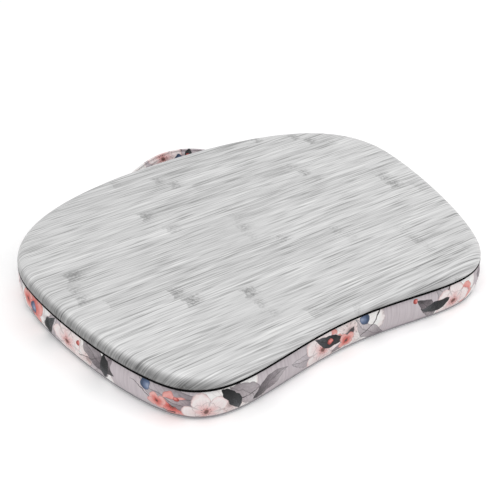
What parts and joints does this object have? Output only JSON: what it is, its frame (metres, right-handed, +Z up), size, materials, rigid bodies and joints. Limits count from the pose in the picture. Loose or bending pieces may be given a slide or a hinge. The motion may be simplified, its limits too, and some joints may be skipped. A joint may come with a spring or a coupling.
{
  "type": "lap desk",
  "caption": "Compact lap desk: a foil-wrapped board with a waisted front edge and rounded rim on a flat fabric cushion, with black piping and a strap handle at the back.",
  "frame": {"origin": "on the flat underside that rests on a lap or a table, below the middle of the board's outline", "axes": "+X to the user's right along the board's width, +Y away from the user towards the strap handle, +Z up through the work surface"},
  "size_m": [0.402, 0.3453, 0.0411],
  "materials": {
    "surface_foil": "pale grey bamboo-look printed foil, satin",
    "board_core": "raw fibreboard",
    "mounting_tape": "white double-sided foam tape",
    "backer_panel": "smooth brown hardboard",
    "piping": "black woven piping",
    "printed_fabric": "woven polyester with a floral print on mauve grey",
    "foam": "cream cut foam",
    "wadding": "white polyester wadding",
    "underside_fabric": "plain grey woven polyester",
    "handle_padding": "white webbing and foam"
  },
  "bodies": {
    "desk": {"surface_foil": "surface_foil", "board_core": "board_core", "mounting_tape_1": "mounting_tape", "mounting_tape_2": "mounting_tape", "mounting_tape_3": "mounting_tape", "mounting_tape_4": "mounting_tape", "backer_panel": "backer_panel", "top_piping": "piping", "cover_boxing": "printed_fabric", "foam_pad": "foam", "wadding_layer": "wadding", "cover_underside": "underside_fabric", "handle_root_left": "printed_fabric", "handle_root_right": "printed_fabric"},
    "handle": {"handle_strap": "printed_fabric", "handle_core": "handle_padding"}
  },
  "joints": [
    {"name": "handle_lift", "type": "hinge", "parent": "desk", "child": "handle", "pos_m": [0.0085, 0.16647, 0.0165], "axis": [1, 0, 0], "range_deg": [-12, 60], "stiffness_Nm_per_rad": 0.03}
  ]
}
